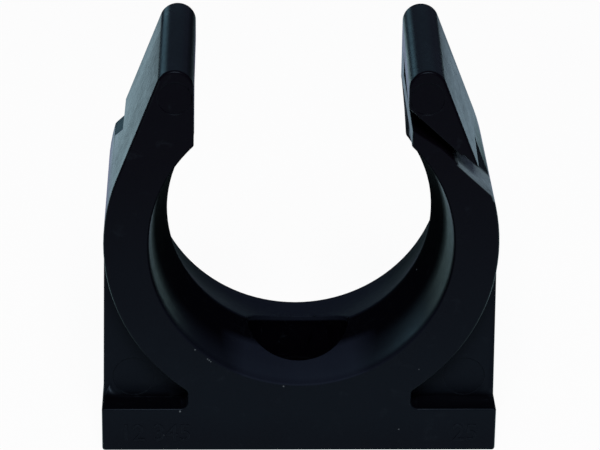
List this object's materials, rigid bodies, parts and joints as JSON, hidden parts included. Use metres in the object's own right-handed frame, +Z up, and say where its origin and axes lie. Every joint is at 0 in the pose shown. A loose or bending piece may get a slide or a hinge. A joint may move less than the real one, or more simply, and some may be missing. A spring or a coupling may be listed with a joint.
{
  "type": "snap-in conduit clip",
  "caption": "Moulded plastic saddle clip with an open round cradle that snaps round a conduit, on a flat base with a recessed screw hole.",
  "frame": {"origin": "centre of the base's underside", "axes": "+X along the base, across the conduit; +Y along the conduit, away from the camera; +Z up, out of the mouth"},
  "size_m": [0.0376, 0.0184, 0.0388],
  "materials": {
    "black_plastic": "satin, as moulded"
  },
  "bodies": {
    "root": {"clip_body": "black_plastic"}
  },
  "joints": []
}
